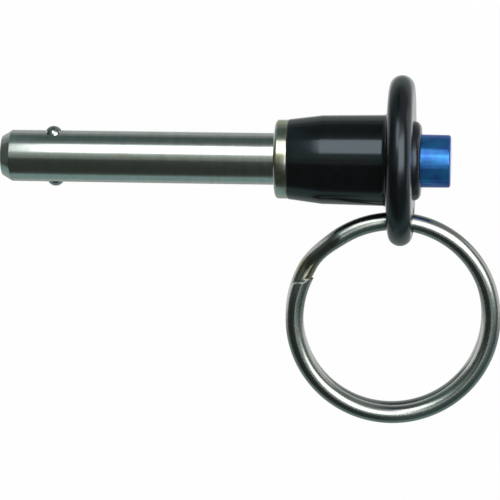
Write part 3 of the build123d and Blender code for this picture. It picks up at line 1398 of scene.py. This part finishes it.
@dataclass(frozen=True)
class Softbox:
    """A wide soft light that faces the place on the axis that it stands over."""

    name: str
    over_x: float
    azimuth: float
    elevation: float
    width: float
    height: float
    radiance: float = 2.6
    distance: float = 0.5

    def hang(self) -> None:
        """Adds the lamp."""
        lamp = bpy.data.lights.new(self.name, "AREA")
        lamp.shape = "RECTANGLE"
        lamp.size = self.width
        lamp.size_y = self.height
        lamp.energy = self.radiance * math.pi * self.width * self.height
        outward = toward(self.azimuth, self.elevation)
        softbox = stand(self.name, lamp, Vector((self.over_x, 0, 0)), outward, self.distance)
        softbox.visible_camera = False


@dataclass
class Studio:
    """Floor, world, softboxes and the cards that shade the reflections."""

    floor_z: float = -0.30
    floor_size: float = 8.0
    floor_white: float = 0.985
    floor_colour: Colour = (0.86, 0.86, 0.86, 1.0)
    floor_rough: float = 0.9
    ambient: float = 0.35
    softboxes: tuple[Softbox, ...] = (
        Softbox("top_softbox", over_x=-0.056, azimuth=0.0, elevation=42.5, width=0.204, height=0.325),
        Softbox("side_softbox", over_x=0.02, azimuth=30.5, elevation=15.0, width=0.49, height=0.42),
    )
    cards: tuple[Card, ...] = (
        Card("low_flag", -72.0, -3.0, 0.045, DIM_GREEN, LOW_RADIUS, right=0.03),
        Card("right_low_flag", -72.0, -24.0, 0.11, DIM_CYAN, LOW_RADIUS, left=0.03),
        Card("sill_card", -24.0, -6.0, 0.26, DIM_CYAN, LOW_RADIUS, left=0.05),
        Card("chin_card", -82.0, -72.0, 0.09, DIM_GREEN, LOW_RADIUS),
        Card("table_card", -118.0, -82.0, 0.34, DIM_CYAN, LOW_RADIUS),
        Card("far_table_card", -158.0, -118.0, 0.42, COOL, LOW_RADIUS),
        Card("horizon_card", -3.0, 10.0, 0.22, DIM_GREEN, left=-0.30, right=0.12),
        Card("brow_card", 10.0, 24.0, 0.36, DIM_GREEN, left=-0.30, right=0.12),
        Card("top_back_card", 24.0, 66.0, 0.32, DIM_CYAN, left=-0.30, right=0.05),
        Card("left_horizon_card", -8.0, 66.0, 0.22, DIM_CYAN, right=-0.30),
        Card("hood_edge_card", 66.0, 78.0, 0.17, COOL, left=-0.20, right=0.05),
        Card("hood_card", 78.0, 112.0, 0.11, DIM_CYAN, left=-0.20, right=0.05),
        Card("left_hood_card", 66.0, 112.0, 0.24, DIM_CYAN, right=-0.20),
        Card("right_hood_card", 58.0, 112.0, 0.30, COOL, left=0.05),
        Card("rear_hood_card", 112.0, 128.0, 0.25, COOL),
        Card("rear_card", 128.0, 165.0, 0.48, COOL),
    )
    end_cards: tuple[EndCard, ...] = (
        EndCard("left_end_card", LEFT_END, back=0.10, level=0.10, tint=DIM_GREEN),
        EndCard("high_left_end_card", LEFT_END, 0.50, level=0.28, tint=COOL, front=0.10, low=0.26),
        EndCard("right_end_card", RIGHT_END, back=0.0, level=0.18, tint=COOL),
    )

    def white_for_eye(self, graph: Graph) -> Socket:
        """1 for rays that show the background: from the camera, in gloss and through glass."""
        path = graph.node("ShaderNodeLightPath").outputs
        shiny = graph.math("MAXIMUM", path["Is Glossy Ray"], path["Is Transmission Ray"])
        return graph.math("MAXIMUM", path["Is Camera Ray"], shiny)

    def light_world(self) -> None:
        """White background for the eye, and a lower even light on the object."""
        world = bpy.data.worlds.new("studio_world")
        bpy.context.scene.world = world
        world.use_nodes = True
        graph = Graph(world.node_tree)
        background = world.node_tree.nodes["Background"]
        background.inputs["Color"].default_value = (1, 1, 1, 1)
        level = graph.spread(self.white_for_eye(graph), 0.0, 1.0, self.ambient, 1.0)
        graph.tree.links.new(level, background.inputs["Strength"])

    def lay_floor(self) -> None:
        """Pale floor, far below, that keeps a faint shadow."""
        deselect_all()
        bpy.ops.mesh.primitive_plane_add(size=self.floor_size, location=(0, 0, self.floor_z))
        floor = bpy.context.object
        floor.name = "studio_floor"
        material, graph, shader = new_material(
            "pale_floor",
            Base_Color=self.floor_colour,
            Roughness=self.floor_rough,
            Specular_IOR_Level=0.0,
        )
        glow = graph.node("ShaderNodeEmission", {"Color": (1, 1, 1, 1), "Strength": 1.0}).outputs[0]
        share = graph.math("MULTIPLY", self.white_for_eye(graph), self.floor_white)
        blend = {0: share, 1: shader.outputs[0], 2: glow}
        graph.show(graph.node("ShaderNodeMixShader", blend).outputs[0])
        floor.data.materials.append(material)

    def finish_card(self, card: Card | EndCard) -> None:
        """Leaves edit mode, gives the card its glow, and lets only reflections see it."""
        bpy.ops.object.mode_set(mode="OBJECT")
        piece = bpy.context.object
        material, graph, _ = new_material(card.name)
        glow = {"Color": (*card.tint, 1), "Strength": card.level}
        graph.show(graph.node("ShaderNodeEmission", glow).outputs[0])
        piece.data.materials.append(material)
        piece.visible_camera = False
        piece.visible_diffuse = False
        piece.visible_shadow = False

    def hang_card(self, card: Card) -> None:
        """Bends one card round the object, in slices of about a degree."""
        left = toward(0.0, card.start) * card.radius + Vector((card.left, 0, 0))
        line_through(card.name, [left, left + Vector((card.right - card.left, 0, 0))])
        bpy.ops.mesh.spin(
            steps=max(2, round(card.end - card.start)),
            angle=math.radians(card.end - card.start),
            center=(0, 0, 0),
            axis=(1, 0, 0),
        )
        self.finish_card(card)

    def hang_end_card(self, card: EndCard) -> None:
        """Stands one flat card at the end of the curved ones."""
        foot = Vector((card.x, card.front, card.low))
        line_through(card.name, [foot, foot + Vector((0, card.back - card.front, 0))])
        rise = {"value": (0, 0, card.high - card.low)}
        bpy.ops.mesh.extrude_region_move(TRANSFORM_OT_translate=rise)
        self.finish_card(card)

    def build(self) -> None:
        """Sets up the studio."""
        self.light_world()
        self.lay_floor()
        for softbox in self.softboxes:
            softbox.hang()
        for card in self.cards:
            self.hang_card(card)
        for card in self.end_cards:
            self.hang_end_card(card)


@dataclass
class Camera:
    """Camera at a given angle round the point that it looks at."""

    aim: Vector = field(default_factory=lambda: Vector((-5.016, 0.0, -17.867)) * MM)
    azimuth: float = 5.71
    elevation: float = 10.16
    distance: float = 0.5
    lens: float = 186.0
    sensor: float = 36.0
    nearest: float = 0.01
    farthest: float = 50.0

    def build(self) -> None:
        """Places the camera and makes it the scene's own."""
        lens = bpy.data.cameras.new("camera")
        lens.lens = self.lens
        lens.sensor_width = self.sensor
        lens.clip_start = self.nearest
        lens.clip_end = self.farthest
        outward = toward(self.azimuth, self.elevation)
        bpy.context.scene.camera = stand("camera", lens, self.aim, outward, self.distance)


def main() -> None:
    """Builds the pieces in order, then the studio and the camera."""
    logging.basicConfig(level=logging.INFO, format="%(name)s: %(message)s")
    effects = Effects()
    shank_low, shank_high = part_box("shank")
    _, handle_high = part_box("handle")
    collar_low, collar_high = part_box("retaining_collar")
    button_low, button_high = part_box("button")
    spindle_low, spindle_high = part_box("spindle")
    ball_low, ball_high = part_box("ball_upper")

    balls = LockingBalls(x=(ball_low.x + ball_high.x) / 2)
    shank = Shank(nose_x=shank_low.x, hub_end_x=shank_high.x)
    shank.build(effects, balls)
    balls.build(effects)
    handle = Handle(front_x=shank.shoulder_length, rear_x=handle_high.x, flange_radius=handle_high.z)
    handle.build(effects)
    RetainingCollar(rear_x=handle.rear_x, end_x=collar_high.x).build(effects)
    button = PushButton(end_x=button_high.x, skirt_x=button_low.x, collar_x=collar_low.x)
    button.build(effects)
    spindle = Spindle(tip_x=spindle_low.x, tail_x=spindle_high.x, ball_x=balls.x)
    spindle.build(effects, button.cross_pin)
    button.cross_pin.dress(effects)
    travel = next(joint["range_m"][1] for joint in frame["joints"] if joint["name"] == "button_press")
    ReturnSpring(start_x=shank.hub_end_x, end_x=button.web_x, travel=travel).build(effects)
    SplitRing(hole_x=handle.rear_x - handle.flange_thickness / 2).build(effects)

    Studio().build()
    Camera().build()
    view_settings = bpy.context.scene.view_settings
    view_settings.view_transform = "Standard"


if __name__ == "__main__":
    main()
